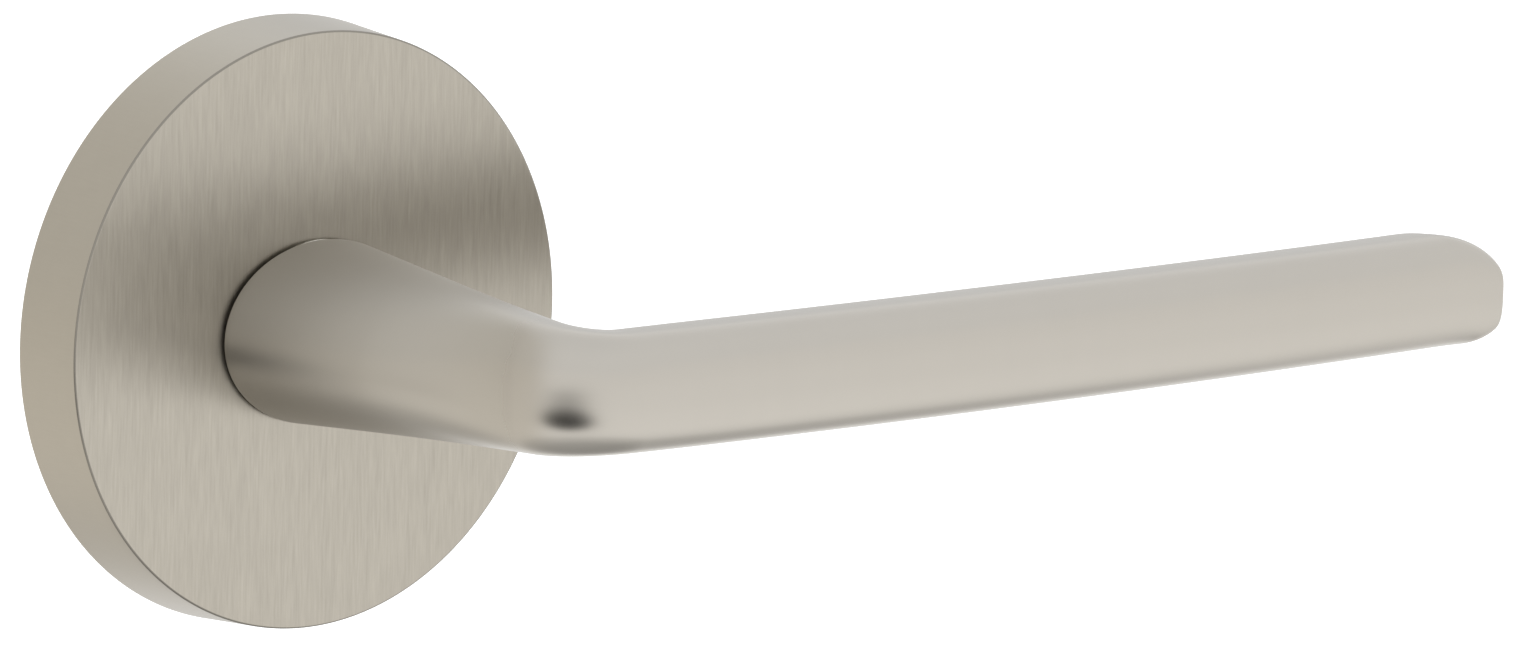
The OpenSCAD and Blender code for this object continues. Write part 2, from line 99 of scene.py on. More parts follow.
FOOT_EDGE_R = 0.3
SOCKET_R, SOCKET_TOP = 7.05, 24.5
SQUARE_SIDE, SQUARE_TOP = 8.15, 32.0
GRUB_Z, GRUB_HOLE_R = 17.0, 2.52


# ---- Mesh helpers ----

SHARP_ANGLE = 32             # degrees between faces, above which an edge is shaded sharp


def new_object(name, points, faces, smooth=True):
    """A mesh object from points in millimetres."""
    mesh = bpy.data.meshes.new(name)
    mesh.from_pydata([Vector(p) * MM for p in points], [], faces)
    mesh.update()
    obj = bpy.data.objects.new(name, mesh)
    bpy.context.scene.collection.objects.link(obj)
    if smooth:
        smooth_by_angle(obj)
    return obj


def smooth_by_angle(obj):
    obj.data.polygons.foreach_set("use_smooth", [True] * len(obj.data.polygons))
    obj.data.set_sharp_from_angle(angle=math.radians(SHARP_ANGLE))


def skin(rings, closed=False):
    """Quads between rings of equal length, with a cap on each end unless the rings close on themselves."""
    count, around = len(rings), len(rings[0])
    points = [p for ring in rings for p in ring]
    faces = []
    for i in range(count if closed else count - 1):
        for j in range(around):
            a, b = i * around, ((i + 1) % count) * around
            faces.append((a + j, a + (j + 1) % around, b + (j + 1) % around, b + j))
    if not closed:
        faces.append(tuple(reversed(range(around))))
        faces.append(tuple(range((count - 1) * around, count * around)))
    return points, faces


def bench(x, y, z):
    """A bench point, drawn with z off the door and y up, in the frame of the row."""
    return (x, -z, y)


def lathe(name, profile, segments):
    """Turns a closed profile of (radius, height off the door) round the spindle's axis."""
    rings = []
    for i in range(segments):
        a = 2 * math.pi * i / segments
        rings.append([bench(r * math.cos(a), r * math.sin(a), z) for r, z in profile])
    points, faces = skin(rings, closed=True)
    return new_object(name, points, faces)


def arc(cx, cy, r, start, end, steps):
    """Points on an arc, in degrees."""
    angles = [math.radians(start + (end - start) * i / steps) for i in range(steps + 1)]
    return [(cx + r * math.cos(a), cy + r * math.sin(a)) for a in angles]


def carve(obj, cutters):
    """Cuts the cutters out of obj and removes them."""
    for cutter in cutters:
        cut = obj.modifiers.new("cut", "BOOLEAN")
        cut.operation = "DIFFERENCE"
        cut.solver = "EXACT"
        cut.object = cutter
    evaluated = obj.evaluated_get(bpy.context.evaluated_depsgraph_get())
    mesh = bpy.data.meshes.new_from_object(evaluated)
    obj.modifiers.clear()
    obj.data = mesh
    for cutter in cutters:
        bpy.data.objects.remove(cutter)
    smooth_by_angle(obj)


def bar(name, sides, radius, start, end, turned=0.0):
    """A prism between two points, its corners at the given radius."""
    start, end = Vector(start), Vector(end)
    turn = (end - start).to_track_quat("Z", "Y").to_matrix()
    rings = []
    for centre in (start, end):
        ring = []
        for j in range(sides):
            a = 2 * math.pi * j / sides + math.radians(turned)
            ring.append(centre + turn @ Vector((radius * math.cos(a), radius * math.sin(a), 0)))
        rings.append(ring)
    points, faces = skin(rings)
    return new_object(name, points, faces, smooth=False)


# ---- The lever: a path in plan, with an oval section that turns into a flat one ----

ELBOW_LEN = ELBOW_R * math.radians(90 - GRIP_OUT)
PATH_LEN = NECK_LEN + ELBOW_LEN + GRIP_LEN
BOW_R = GRIP_LEN / math.radians(GRIP_OUT + GRIP_IN)


def heading(s):
    """Direction of the path in plan, in radians, at length s from the foot."""
    if s < NECK_LEN:
        return math.radians(-90)
    if s < NECK_LEN + ELBOW_LEN:
        return math.radians(-90) + (s - NECK_LEN) / ELBOW_R
    return math.radians(-GRIP_OUT + (GRIP_OUT + GRIP_IN) * (s - NECK_LEN - ELBOW_LEN) / GRIP_LEN)


def normal(s):
    return Vector((-math.sin(heading(s)), math.cos(heading(s))))


def path(s):
    """Middle of the section in plan (x, y) at length s from the foot."""
    foot = Vector((0, -FOOT_Z))
    if s < NECK_LEN:
        return foot + Vector((0, -s))
    elbow_start = foot + Vector((0, -NECK_LEN))
    if s < NECK_LEN + ELBOW_LEN:
        return elbow_start + ELBOW_R * (normal(0) - normal(s))
    elbow_end = elbow_start + ELBOW_R * (normal(0) - normal(NECK_LEN + ELBOW_LEN))
    return elbow_end + BOW_R * (normal(NECK_LEN + ELBOW_LEN) - normal(s))


def along(stations, s):
    """Smooth curve through (place, value) stations, flat where the values turn back."""
    def grade(i):
        return (stations[i + 1][1] - stations[i][1]) / (stations[i + 1][0] - stations[i][0])

    def slope(i):
        if i == 0:
            return grade(0)
        if i == len(stations) - 1:
            return grade(i - 1)
        before, after = grade(i - 1), grade(i)
        return 0 if before * after <= 0 else 2 / (1 / before + 1 / after)

    i = 0
    while i < len(stations) - 2 and s >= stations[i + 1][0]:
        i += 1
    w = stations[i + 1][0] - stations[i][0]
    t = (s - stations[i][0]) / w
    return (stations[i][1] * (2 * t**3 - 3 * t**2 + 1) + slope(i) * w * (t**3 - 2 * t**2 + t)
            + stations[i + 1][1] * (3 * t**2 - 2 * t**3) + slope(i + 1) * w * (t**3 - t**2))


def smooth(t):
    u = max(0.0, min(1.0, t))
    return u * u * (3 - 2 * u)


HALF_HEIGHTS = [
    (0, FOOT_H / 2),
    (NECK_LEN / 2, WAIST_H / 2),
    (NECK_LEN, GRIP_H / 2 + ELBOW_EXTRA_H),
    (NECK_LEN + ELBOW_LEN, GRIP_H / 2),
    (NECK_LEN + ELBOW_LEN + GRIP_TAPER_START, GRIP_H / 2),
    (PATH_LEN, TIP_H / 2),
]
HALF_WIDTHS = [
    (0, FOOT_W / 2),
    (NECK_LEN / 2, WAIST_W / 2),
    (NECK_LEN, GRIP_T / 2 + ELBOW_EXTRA_W),
    (NECK_LEN + ELBOW_LEN, GRIP_T / 2),
    (PATH_LEN, GRIP_T / 2),
]


def power(s, full):
    """The section's power: an oval's 2 up to the middle of the neck, and full on the grip."""
    return 2 + (full - 2) * smooth((s - NECK_LEN / 2) / (NECK_LEN / 2 + ELBOW_LEN + POWER_RUN))


def signed_pow(a, e):
    return math.copysign(abs(a) ** (2 / e), a)


def corner(r, d):
    """How far a round of radius r cuts in at distance d from its end."""
    return 0.0 if d >= r else r - math.sqrt(r * r - (r - d) ** 2)


def skin_point(s, a):
    """One point of the lever's section at length s, where a runs round it and is 0 at the back."""
    d = PATH_LEN - s
    foot_cut = corner(FOOT_EDGE_R, s)
    hw = along(HALF_WIDTHS, s)
    hh = along(HALF_HEIGHTS, s)
    e = power(s, FRONT_POWER if math.cos(a) < 0 else BACK_POWER)
    back_cut = 0.0
    if d < TIP_BACK_LEN:
        back_cut = (1 - TIP_BACK_KEEP) * 2 * hw * (1 - math.sqrt(1 - (1 - d / TIP_BACK_LEN) ** 2))
    front_cut = corner(TIP_FRONT_R, d)
    half = max(hw - (back_cut + front_cut) / 2, TIP_MIN_HALF) - foot_cut
    w = signed_pow(math.cos(a), e) * half + (front_cut - back_cut) / 2
    depth = max(0.0, min(1.0, (w / hw + 1) / 2))
    r = (TIP_TOP_R if math.sin(a) > 0 else TIP_LOW_R) + TIP_BACK_GROWTH * depth
    h = signed_pow(math.sin(a), e) * (hh - foot_cut - min(corner(r, d), hh - 2 * TIP_MIN_HALF))
    p = path(s) + w * normal(s)
    return (p.x, p.y, h)


def unroll(lever, places, around):
    """Lays out the skin in metres: along the path, and round the section at its middle size."""
    girth = math.pi * (GRIP_H + GRIP_T) / 2
    layer = lever.data.uv_layers.new(name="along")
    for polygon in lever.data.polygons:
        corners = [divmod(v, around) for v in polygon.vertices]
        crosses_seam = len({j for _, j in corners} & {0, around - 1}) == 2
        for loop, (i, j) in zip(polygon.loop_indices, corners):
            turn = 1.0 if crosses_seam and j == 0 else j / around
            layer.data[loop].uv = (places[i] * MM, girth * turn * MM)


def lever_places():
    """Lengths along the path that get a ring of points, closest together where the shape turns most."""
    foot, neck, elbow, grip, tip = 5, 48, 44, 56, 56
    tip_zone = 13.0
    places = [FOOT_EDGE_R * (1 - math.cos(math.pi / 2 * i / foot)) for i in range(foot)]
    places += [FOOT_EDGE_R + (NECK_LEN - FOOT_EDGE_R) * i / neck for i in range(neck)]
    places += [NECK_LEN + ELBOW_LEN * i / elbow for i in range(elbow)]
    places += [NECK_LEN + ELBOW_LEN + (GRIP_LEN - tip_zone) * i / grip for i in range(grip)]
    places += [PATH_LEN - tip_zone * (1 - math.sin(math.pi / 2 * i / tip)) for i in range(tip + 1)]
    return places


def build_lever():
    """The shell, with its socket, square hole and set-screw hole. The round cutters are turned a little, so
    that their points don't fall in line with the shell's."""
    around = 160
    places = lever_places()
    rings = [[skin_point(s, 2 * math.pi * j / around) for j in range(around)] for s in places]
    points, faces = skin(rings)
    lever = new_object("lever_shell", points, faces)
    unroll(lever, places, around)
    lever.data.flip_normals()
    socket = bar("socket", 96, SOCKET_R, bench(0, 0, FOOT_Z - 1), bench(0, 0, SOCKET_TOP), turned=0.9)
    square = bar("square", 4, SQUARE_SIDE / math.sqrt(2), bench(0, 0, SOCKET_TOP - 1),
                 bench(0, 0, SQUARE_TOP), turned=45)
    grub = bar("grub", 64, GRUB_HOLE_R, bench(0, 0, GRUB_Z), bench(0, -FOOT_H, GRUB_Z), turned=1.3)
    carve(lever, [socket, square, grub])
    return lever


# ---- The rose ----

def build_rose():
    edge_z = ROSE_H - ROSE_EDGE_R
    back_break, hole_break = 0.15, 0.1
    inner_fillet = 1.0
    inner_h = ROSE_H - ROSE_SKIN
    flat_r = ROSE_FACE_R - ROSE_EDGE_R
    face_rings, rim_rings, edge_steps = 8, 6, 8
    profile = [(BUSH_HOLE_R, inner_h), (BUSH_HOLE_R, ROSE_H - hole_break), (BUSH_HOLE_R + hole_break, ROSE_H)]
    profile += [(BUSH_HOLE_R + (flat_r - BUSH_HOLE_R) * i / face_rings, ROSE_H) for i in range(1, face_rings)]
    profile += [(flat_r - 0.05, ROSE_H)]     # keeps the face's shading flat up to its edge
    profile += arc(flat_r, edge_z, ROSE_EDGE_R, 90, 2, edge_steps)
    profile += [(ROSE_FACE_R + ROSE_DRAFT * (1 - i / rim_rings), edge_z * i / rim_rings)
                for i in range(rim_rings - 1, 0, -1)]
    profile += [(ROSE_R, back_break), (ROSE_R - back_break, 0)]
    profile += [(ROSE_INNER_R + back_break, 0), (ROSE_INNER_R, back_break)]
    profile += arc(ROSE_INNER_R - inner_fillet, inner_h - inner_fillet, inner_fillet, 0, 90, 6)
    return lathe("rose_cover", profile, 256)


def paint_rose(rose):
    """Brushed face, plain rim and back, and a darker line round the face's edge: a painted dark reflection.
    """
    paint(rose, satin_rim, satin_face, satin_painted_reflection_edge)
    # Slot 2 is the painted dark reflection on the face's rounded edge.
    rim, face, edge = 0, 1, 2
    flat, sloped = 0.99, 0.15                # least forward part of a face's and an edge's normal
    for polygon in rose.data.polygons:
        forward = -polygon.normal.y
        on_front = polygon.center.y < -0.96 * ROSE_H * MM
        outside_hole = polygon.center.xz.length > 2 * BUSH_HOLE_R * MM
        polygon.material_index = rim
        if on_front and forward > flat:
            polygon.material_index = face
        elif on_front and outside_hole and forward > sloped:
            polygon.material_index = edge


# ---- Node helpers ----

class Nodes:
    """Short calls that add nodes to a tree and link them."""

    def __init__(self, tree):
        self.tree = tree

    def add(self, kind, **settings):
        node = self.tree.nodes.new(kind)
        for name, value in settings.items():
            setattr(node, name, value)
        return node

    def put(self, socket, value):
        """Sets a socket to a number or colour, or links it to another node's output."""
        if isinstance(value, bpy.types.NodeSocket):
            self.tree.links.new(value, socket)
        else:
            socket.default_value = value

    def math(self, operation, a, b=0.0):
        node = self.add("ShaderNodeMath", operation=operation)
        self.put(node.inputs[0], a)
        self.put(node.inputs[1], b)
        return node.outputs[0]

    def vector(self, operation, a, b):
        node = self.add("ShaderNodeVectorMath", operation=operation)
        self.put(node.inputs[0], a)
        self.put(node.inputs[1], b)
        return node.outputs["Value" if operation == "DOT_PRODUCT" else "Vector"]

    def ease(self, value, low, high, to_low=0.0, to_high=1.0):
        """Goes smoothly from to_low to to_high as value goes from low to high."""
        node = self.add("ShaderNodeMapRange", interpolation_type="SMOOTHSTEP")
        for socket, number in zip(node.inputs[0:5], (value, low, high, to_low, to_high)):
            self.put(socket, number)
        return node.outputs[0]

    def mix(self, share, a, b, blend="MIX"):
        node = self.add("ShaderNodeMix", data_type="RGBA", blend_type=blend)
        for socket, value in ((node.inputs[0], share), (node.inputs[6], a), (node.inputs[7], b)):
            self.put(socket, value)
        return node.outputs[2]

    def ramp(self, value, stops):
        """A colour ramp of (place, grey or colour) stops."""
        node = self.add("ShaderNodeValToRGB")
        node.color_ramp.interpolation = "EASE"
        elements = node.color_ramp.elements
        while len(elements) < len(stops):
            elements.new(0.5)
        for element, (place, tone) in zip(elements, stops):
            element.position = place
            element.color = (*tone, 1) if isinstance(tone, tuple) else (tone, tone, tone, 1)
        self.put(node.inputs[0], value)
        return node.outputs[0]

    def noise(self, point):
        """Noise whose largest blotches are about one unit of the point's own scale."""
        node = self.add("ShaderNodeTexNoise")
        self.put(node.inputs["Vector"], point)
        self.put(node.inputs["Scale"], 1.0)
        self.put(node.inputs["Detail"], 3.0)
        self.put(node.inputs["Roughness"], 0.6)
        return node.outputs["Fac"]


# ---- Materials ----

def material(name, color, metallic, roughness):
    """A new material, its shader and the calls that add nodes to it."""
    mat = bpy.data.materials.new(name)
    mat.use_nodes = True
    shader = mat.node_tree.nodes["Principled BSDF"]
    shader.inputs["Base Color"].default_value = (*color, 1)
    shader.inputs["Metallic"].default_value = metallic
    shader.inputs["Roughness"].default_value = roughness
    return mat, shader, Nodes(mat.node_tree)


def grain(n, source, layers):
    """Sum of stretched noises round zero. A layer is (the grain's size along each axis in mm, strength)."""
    coordinate = n.add("ShaderNodeTexCoord").outputs[source]
    total = 0.0
    for size, strength in layers:
        point = n.vector("MULTIPLY", coordinate, tuple(1 / (MM * length) for length in size))
        level = n.math("SUBTRACT", n.noise(point), 0.5)
        total = n.math("ADD", n.math("MULTIPLY", level, strength), total)
    return total


def grained(name, color, metallic, roughness, layers, relief, shine=0.4, source="Object"):
    """A surface whose tone, roughness and relief (mm) follow one grain."""
    mat, shader, n = material(name, color, metallic, roughness)
    level = grain(n, source, layers)
    dark = tuple(c * 0.5 for c in color)
    light = tuple(c * 1.5 for c in color)
    n.put(shader.inputs["Base Color"], n.mix(n.math("ADD", level, 0.5), (*dark, 1), (*light, 1)))
    n.put(shader.inputs["Roughness"], n.math("ADD", n.math("MULTIPLY", level, shine), roughness))
    node = n.add("ShaderNodeBump")
    n.put(node.inputs["Height"], level)
    n.put(node.inputs["Distance"], relief * MM)
    n.put(shader.inputs["Normal"], node.outputs[0])
    return mat, shader, n


def satin_lever_metal():
    """Satin nickel whose highlights spread along the lever, and duller on the neck."""
    neck_dullness, neck_full, neck_none = 0.15, 0.35 * NECK_LEN * MM, 1.05 * NECK_LEN * MM
    layers = [((2.4, 6, 1), 0.02), ((9, 9, 1), 0.03)]
    mat, shader, n = grained("satin_nickel_lever", LEVER_NICKEL, 1.0, 0.27, layers, 0.001, source="UV")
    split = n.add("ShaderNodeSeparateXYZ")
    n.put(split.inputs[0], n.add("ShaderNodeTexCoord").outputs["UV"])
    neck_share = n.ease(split.outputs["X"], neck_full, neck_none, 1.0, 0.0)
    grain_roughness = shader.inputs["Roughness"].links[0].from_socket
    extra = n.math("MULTIPLY", neck_share, neck_dullness)
    n.put(shader.inputs["Roughness"], n.math("ADD", grain_roughness, extra))
    shader.inputs["Anisotropic"].default_value = 0.4
    tangent = n.add("ShaderNodeTangent", direction_type="UV_MAP", uv_map="along")
    n.put(shader.inputs["Tangent"], tangent.outputs[0])
    return mat


def satin_face_metal():
    """Satin nickel brushed up and down the rose's face, so highlights spread sideways."""
    layers = [((0.28, 1, 4.5), 0.34), ((0.9, 1, 11), 0.20), ((9, 9, 12), 0.07)]
    mat, shader, n = grained("satin_nickel_face", ROSE_NICKEL, 1.0, 0.33, layers, 0.002, shine=0.15)
    shader.inputs["Anisotropic"].default_value = 0.8
    across = n.add("ShaderNodeCombineXYZ")
    across.inputs["X"].default_value = 1.0
    n.put(shader.inputs["Tangent"], across.outputs[0])
    return mat


def paint(obj, *mats):
    obj.data.materials.clear()
    for mat in mats:
        obj.data.materials.append(mat)


def natural_nylon():
    """Milky nylon that lets a little light in."""
    layers = [((0.4, 0.4, 0.4), 0.05), ((5, 5, 5), 0.08)]
    mat, shader, _ = grained("nylon", (0.58, 0.56, 0.50), 0.0, 0.42, layers, 0.006)
    shader.inputs["Subsurface Weight"].default_value = 0.15
    shader.inputs["Subsurface Radius"].default_value = (1.2 * MM, 1.0 * MM, 0.8 * MM)
    return mat


LEVER_NICKEL = (0.400, 0.377, 0.337)
ROSE_NICKEL = (0.372, 0.345, 0.296)
# Painted dark reflection: the face's rounded edge gets a darker nickel, standing in for the dark line that
# the tent's opening makes there.
EDGE_PAINTED_REFLECTION = tuple(c * 0.6 for c in ROSE_NICKEL)
RIM_GRAIN = [((2, 2, 2), 0.04), ((0.2, 9, 0.2), 0.05)]
satin_lever = satin_lever_metal()
satin_face = satin_face_metal()
satin_rim, _, _ = grained("satin_nickel_rim", ROSE_NICKEL, 1.0, 0.34, RIM_GRAIN, 0.001)
# The face's rounded edge, painted darker as a reflection of the tent's dark opening.
satin_painted_reflection_edge, _, _ = grained("satin_nickel_painted_reflection_edge", EDGE_PAINTED_REFLECTION, 1.0, 0.40, RIM_GRAIN[:1], 0.001)

# Plain finishes by slot: colour, metallic, roughness, grain, relief.
PLAIN = {
    "zinc_steel": (
        (0.34, 0.35, 0.365), 1.0, 0.36, [((2.5, 2.5, 2.5), 0.25), ((0.3, 0.3, 0.3), 0.12)], 0.004),
    "bright_steel": (
        (0.46, 0.46, 0.475), 1.0, 0.26, [((1.5, 1.5, 1.5), 0.12), ((0.15, 0.15, 0.15), 0.10)], 0.002),
    "hub_steel": (
        (0.23, 0.23, 0.235), 1.0, 0.46, [((0.18, 0.18, 0.18), 0.40), ((3, 3, 3), 0.15)], 0.010),
    "spring_steel": (
        (0.19, 0.20, 0.225), 1.0, 0.30, [((0.1, 0.6, 0.1), 0.20), ((2, 2, 2), 0.20)], 0.002),
    "black_steel": (
        (0.050, 0.050, 0.055), 1.0, 0.38, [((0.25, 0.25, 0.25), 0.35), ((2, 2, 2), 0.25)], 0.004),
    "rubber": (
        (0.028, 0.028, 0.028), 0.0, 0.62, [((0.2, 0.2, 0.2), 0.4), ((3, 3, 3), 0.2)], 0.008),
}
finishes = {name: grained(name, *settings)[0] for name, settings in PLAIN.items()}
finishes["nylon"] = natural_nylon()
finishes["satin_nickel"] = satin_rim


# ---- Small pieces ----

def placed(at):
    """Moves bench points, drawn round the spindle's axis, to a place on the bench and into the frame."""
    cx, cy = at
    return lambda x, y, z: bench(cx + x, cy + y, z)


def tri(t):
    """A thread's outline: 0 at the root, 1 at the crest, with a short flat on each."""
    flat = 0.12
    u = abs((t % 1.0) * 2 - 1)
    return max(0.0, min(1.0, (u - flat) / (1 - 2 * flat)))


def threaded(name, stations, pitch, place, around=28):
    """A turned piece along a line: stations are (height, radius, thread depth) from its top to its end."""
    rings_per_turn = 8
    heights = []
    for (z0, r0, d0), (z1, r1, d1) in zip(stations, stations[1:]):
        steps = max(1, math.ceil(abs(z1 - z0) / pitch * rings_per_turn)) if max(d0, d1) > 0 else 1
        for i in range(steps):
            t = i / steps
            heights.append((z0 + (z1 - z0) * t, r0 + (r1 - r0) * t, d0 + (d1 - d0) * t))
    heights.append(stations[-1])
    rings = []
    for z, r, d in heights:
        ring = []
        for j in range(around):
            a = 2 * math.pi * j / around
            cut = r - d * (1 - tri(z / pitch - j / around))
            ring.append(place(cut * math.cos(a), cut * math.sin(a), z))
        rings.append(ring)
    points, faces = skin(rings)
    obj = new_object(name, points, faces)
    fix_normals(obj)
    return obj


def fix_normals(obj):
    """Turns every face's normal outward."""
    work = bmesh.new()
    work.from_mesh(obj.data)
    bmesh.ops.recalc_face_normals(work, faces=work.faces)
    work.to_mesh(obj.data)
    work.free()


def box_at(name, low, high, place):
    """A plain box between two bench corners, as a cutter."""
    corners = [(x, y, z) for x in (low[0], high[0]) for y in (low[1], high[1]) for z in (low[2], high[2])]
    faces = [(0, 1, 3, 2), (4, 6, 7, 5), (0, 4, 5, 1), (2, 3, 7, 6), (0, 2, 6, 4), (1, 5, 7, 3)]
    obj = new_object(name, [place(*c) for c in corners], faces, smooth=False)
    fix_normals(obj)
    return obj


def cross_cutters(top, length, place):
    """Two bars that cut a cross recess into a head."""
    half, width, depth = length / 2, length / 8, length / 3
    return [
        box_at("cross_a", (-half, -width, top - depth), (half, width, top + 1), place),
        box_at("cross_b", (-width, -half, top - depth), (width, half, top + 1), place),
    ]


def pan_stations(head_r, head_t, seat):
    """The outline of a pan head, from its crown to its seat."""
    dome_r, dome_edge_r = 1.2 * head_r, 0.97 * head_r
    top_break, seat_break = 0.12, 0.1
    centre = seat + head_t - dome_r
    dome = [0.05, 0.35 * head_r, 0.65 * head_r, 0.85 * head_r, dome_edge_r]
    outline = [(centre + math.sqrt(dome_r**2 - r**2), r, 0) for r in dome]
    outline += [(outline[-1][0] - top_break, head_r, 0)]
    return outline + [(seat + seat_break, head_r, 0), (seat, head_r - seat_break, 0)]


def pan_screw(name, at, head, seat, shank, pitch):
    """A pan-head screw: head is (radius, thickness), the shank's stations (height, radius, thread depth)."""
    head_r, head_t = head
    place = placed(at)
    screw = threaded(name, pan_stations(head_r, head_t, seat) + shank, pitch, place)
    carve(screw, cross_cutters(seat + head_t, 1.1 * head_r, place))
    return screw


def on_circle(r, degrees):
    return (r * math.cos(math.radians(degrees)), r * math.sin(math.radians(degrees)))


def attach(obj, body, node):
    """Ties a piece to the body it moves with, and hides the CAD node it stands for."""
    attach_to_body(obj, body)
    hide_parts(node)


def finish_piece(obj, body, node, slot):
    paint(obj, finishes[slot])
    attach(obj, body, node)


BOLT_AT = 19.05
BOLT_HEAD = (3.8, 2.6)
BOLT_R, BOLT_SHANK_R, BOLT_PITCH = 2.0, 1.75, 0.7
BOLT_SEAT, BOLT_THREAD_START, BOLT_END = 3.32, -16.0, -25.0
THREAD_DEPTH = 0.55          # share of the pitch
JOIN = 0.01                  # a shank starts this far under its head's seat


def build_bolts():
    depth = THREAD_DEPTH * BOLT_PITCH
    shank = [
        (BOLT_SEAT - JOIN, BOLT_SHANK_R, 0),
        (BOLT_THREAD_START, BOLT_SHANK_R, 0),
        (BOLT_THREAD_START - BOLT_PITCH, BOLT_R, depth),
        (BOLT_END + 0.5, BOLT_R, depth),
        (BOLT_END + 0.02, BOLT_R - depth, 0),
        (BOLT_END, BOLT_R - depth - 0.1, 0),
    ]
    for i, side in enumerate((1, -1)):
        at = (0, side * BOLT_AT)
        bolt = pan_screw(f"through_bolt_{i}", at, BOLT_HEAD, BOLT_SEAT, shank, BOLT_PITCH)
        finish_piece(bolt, "rose", "through_bolts", "bright_steel")


SCREW_ANGLES = (60, 180, 300)
SCREW_HEAD = (2.8, 1.9)
SCREW_AT_R, SCREW_R, SCREW_PITCH = 18.3, 1.5, 0.5
SCREW_SEAT, SCREW_END = 2.52, -5.5


def build_housing_screws():
    depth = THREAD_DEPTH * SCREW_PITCH
    shank = [
        (SCREW_SEAT - JOIN, SCREW_R - depth, 0),
        (SCREW_SEAT - SCREW_PITCH, SCREW_R, depth),
        (SCREW_END + 0.4, SCREW_R, depth),
        (SCREW_END, SCREW_R - depth - 0.1, 0),
    ]
    for i, angle in enumerate(SCREW_ANGLES):
        at = on_circle(SCREW_AT_R, angle)
        screw = pan_screw(f"housing_screw_{i}", at, SCREW_HEAD, SCREW_SEAT, shank, SCREW_PITCH)
        finish_piece(screw, "rose", "housing_screws", "bright_steel")


def build_set_screw():
    """The socket set screw under the neck, which points up to the spindle."""
    tip, end, r, pitch = 4.0, 8.7, 2.5, 0.8
    cup_r, cup_depth, point_r = 1.0, 0.5, 1.5
    hexagon_r, hexagon_depth = 1.45, 2.0
    depth = 0.5 * pitch

    def place(x, y, z):
        return bench(x, -z, GRUB_Z + y)

    stations = [
        (end, r - depth - 0.1, 0),
        (end - 0.3, r, depth),
        (tip + 0.9, r, depth),
        (tip + 0.5, point_r, 0),
        (tip, cup_r + 0.2, 0),
        (tip + 0.15, cup_r, 0),
        (tip + cup_depth, 0.05, 0),
    ]
    screw = threaded("set_screw", stations, pitch, place, around=32)
    socket = bar("hexagon", 6, hexagon_r, place(0, 0, end - hexagon_depth), place(0, 0, end + 1))
    carve(screw, [socket])
    finish_piece(screw, "lever", "lever_set_screw", "black_steel")


# ---- The return spring and the wave washer ----

WIRE_R, COIL_R, COIL_TOP, COIL_BOTTOM = 0.8, 10.9, -5.0, -11.2
SPRING_TURNS = 3.5
STEPS_PER_TURN = 56
LEG_TIP_R, LEG_BEND = 13.7, 1.1
ARM_ANGLE, ARM_HALF_W, PIN_AT_R = 115, 2.5, 13
LEG_FIT = 0.02
FREE_LEG = ARM_ANGLE - math.degrees(math.asin((ARM_HALF_W + WIRE_R + LEG_FIT) / PIN_AT_R))


def bent_leg(tip, root, past):
    """Points from a leg's tip round a soft bend at its root, towards the coil."""
    before = root + (tip - root).normalized() * LEG_BEND
    after = root + (past - root).normalized() * LEG_BEND
    bend = [before * (1 - t)**2 + root * 2 * t * (1 - t) + after * t**2 for t in (i / 8 for i in range(9))]
    return [tip] + bend


def spring_path():
    """Points along the wire's middle, from the free leg's tip to the fixed leg's."""
    def coil(t):
        a = math.radians(FREE_LEG + 360 * SPRING_TURNS * t)
        return Vector((COIL_R * math.cos(a), COIL_R * math.sin(a), COIL_TOP + (COIL_BOTTOM - COIL_TOP) * t))

    def leg_tip(t):
        x, y = on_circle(LEG_TIP_R, FREE_LEG + 360 * SPRING_TURNS * t)
        return Vector((x, y, coil(t).z))

    steps = math.ceil(STEPS_PER_TURN * SPRING_TURNS)
    skip = 2                 # steps that each leg's bend takes from the coil
    turns = [coil(i / steps) for i in range(skip, steps - skip + 1)]
    first = bent_leg(leg_tip(0), coil(0), coil(1 / steps))
    last = bent_leg(leg_tip(1), coil(1), coil(1 - 1 / steps))
    return first + turns + list(reversed(last))


def build_spring():
    path_points = spring_path()
    sides = 16
    rings = []
    for i, centre in enumerate(path_points):
        before = path_points[max(i - 1, 0)]
        after = path_points[min(i + 1, len(path_points) - 1)]
        ahead = (after - before).normalized()
        across = ahead.cross(Vector((0, 0, 1))).normalized()
        up = across.cross(ahead)
        ring = []
        for j in range(sides):
            a = 2 * math.pi * j / sides
            p = centre + WIRE_R * (math.cos(a) * across + math.sin(a) * up)
            ring.append(bench(*p))
        rings.append(ring)
    points, faces = skin(rings)
    spring = new_object("return_spring_wire", points, faces)
    fix_normals(spring)
    paint(spring, finishes["spring_steel"])
    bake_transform(spring)
    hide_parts("return_spring")


def build_wave_washer():
    low, high = box_mm("wave_washer")
    near, far = -low.y, -high.y
    outer, inner, thick, waves, around = high.x, 7.1, 0.3, 3, 144
    middle, swing = (near + far) / 2, (near - far - thick) / 2
    rings = []
    for i in range(around):
        a = 2 * math.pi * i / around
        z = middle + swing * math.cos(waves * a)
        rings.append([bench(r * math.cos(a), r * math.sin(a), z + side * thick / 2)
                      for r, side in ((inner, -1), (inner, 1), (outer, 1), (outer, -1))])
    points, faces = skin(rings, closed=True)
    washer = new_object("wave_washer_ring", points, faces)
    fix_normals(washer)
    finish_piece(washer, "rose", "wave_washer", "spring_steel")


# ---- Assembly ----

SLOTS = {part["node"]: part["material_slot"] for part in frame["record"]["subparts"]}
# Width of each CAD piece's edge breaks.
EDGE_BREAKS = {
    "spring_housing": 0.35, "bore_adapter_ring": 0.3, "drive_hub": 0.15,
    "rear_bearing": 0.15, "retaining_ring": 0.1, "spindle": 0.12, "stop_pins": 0.1, "spring_post": 0.1,
    "bolt_washers": 0.12, "adapter_rivets": 0.25, "spindle_pin": 0.08, "anti_rattle_spring": 0.06,
    "hub_washer": 0.08, "front_bearing": 0.1, "cover_bush": 0.05,
}


